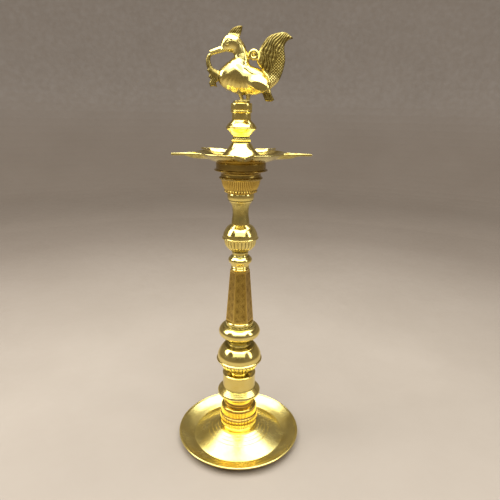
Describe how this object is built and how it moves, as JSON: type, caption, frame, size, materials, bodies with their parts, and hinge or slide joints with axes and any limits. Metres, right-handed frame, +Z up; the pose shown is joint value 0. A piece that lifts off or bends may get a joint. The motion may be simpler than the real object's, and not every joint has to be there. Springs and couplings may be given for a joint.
{
  "type": "standing oil lamp",
  "caption": "Standing brass oil lamp: drip dish, turned column in screwed sections, spouted oil plate and a cast swan-like bird finial.",
  "frame": {"origin": "centre of the drip dish's underside, on the lamp's axis, in the plane it stands on", "axes": "+Z up along the lamp's axis, +X towards the bird's tail, -X towards its beak, -Y towards the viewer"},
  "size_m": [0.192, 0.1928, 0.6102],
  "materials": {
    "polished_brass": "mirror-polished yellow brass with fine turning lines",
    "chased_brass": "hand-chased floral faces, toned in the cuts",
    "fluted_brass": "fluted and milled, toned in the grooves",
    "toned_brass": "darker toned brass",
    "cast_brass": "cast and chased, polished on the high places"
  },
  "bodies": {
    "base": {"base_dish": "polished_brass"},
    "foot_collar": {"foot_ring": "polished_brass"},
    "lower_column": {"foot": "fluted_brass", "drum": "polished_brass", "bulb_knop": "polished_brass", "torus_knop": "polished_brass"},
    "shaft_collar": {"shaft_ring": "polished_brass"},
    "shaft": {"hex_shaft": "chased_brass"},
    "shaft_top_collar": {"shaft_top_ring": "polished_brass"},
    "upper_column": {"collar": "polished_brass", "petal_knop": "polished_brass", "vase_neck": "polished_brass", "ribbed_cup": "fluted_brass", "lower_disc": "toned_brass", "upper_disc": "toned_brass", "seat_drum": "toned_brass"},
    "plate": {"oil_plate": "polished_brass"},
    "washer": {"stem_washer": "toned_brass"},
    "stem": {"stem_bell": "polished_brass", "stem_knop": "polished_brass", "stem_socket": "polished_brass"},
    "bird_collar": {"finial_collar": "polished_brass"},
    "bird": {"hamsa": "cast_brass", "hamsa_stud": "toned_brass"}
  },
  "joints": [
    {"name": "foot_rise", "type": "slide", "parent": "base", "child": "foot_collar", "axis": [0, 0, 1], "range_m": [0, 0.012]},
    {"name": "foot_turn", "type": "hinge", "parent": "foot_collar", "child": "lower_column", "pos_m": [0, 0, 0.0208], "axis": [0, 0, 1], "range_deg": [0, 2880]},
    {"name": "shaft_rise", "type": "slide", "parent": "lower_column", "child": "shaft_collar", "axis": [0, 0, 1], "range_m": [0, 0.012]},
    {"name": "shaft_turn", "type": "hinge", "parent": "shaft_collar", "child": "shaft", "pos_m": [0, 0, 0.196], "axis": [0, 0, 1], "range_deg": [0, 2880]},
    {"name": "upper_rise", "type": "slide", "parent": "shaft", "child": "shaft_top_collar", "axis": [0, 0, 1], "range_m": [0, 0.012]},
    {"name": "upper_turn", "type": "hinge", "parent": "shaft_top_collar", "child": "upper_column", "pos_m": [0, 0, 0.284], "axis": [0, 0, 1], "range_deg": [0, 2880]},
    {"name": "stem_rise", "type": "slide", "parent": "upper_column", "child": "washer", "axis": [0, 0, 1], "range_m": [0, 0.012]},
    {"name": "stem_turn", "type": "hinge", "parent": "washer", "child": "stem", "pos_m": [0, 0, 0.4412], "axis": [0, 0, 1], "range_deg": [0, 2880]},
    {"name": "bird_rise", "type": "slide", "parent": "stem", "child": "bird_collar", "axis": [0, 0, 1], "range_m": [0, 0.012]},
    {"name": "bird_turn", "type": "hinge", "parent": "bird_collar", "child": "bird", "pos_m": [0, 0, 0.5035], "axis": [0, 0, 1], "range_deg": [0, 2880]},
    {"name": "plate_turn", "type": "hinge", "parent": "upper_column", "child": "plate", "pos_m": [0, 0, 0.4392], "axis": [0, 0, 1], "continuous": true}
  ],
  "couplings": [
    {"joint": "foot_turn", "follows": "foot_rise", "rad_per_m": 4188.8},
    {"joint": "shaft_turn", "follows": "shaft_rise", "rad_per_m": 4188.8},
    {"joint": "upper_turn", "follows": "upper_rise", "rad_per_m": 4188.8},
    {"joint": "stem_turn", "follows": "stem_rise", "rad_per_m": 4188.8},
    {"joint": "bird_turn", "follows": "bird_rise", "rad_per_m": 4188.8}
  ]
}
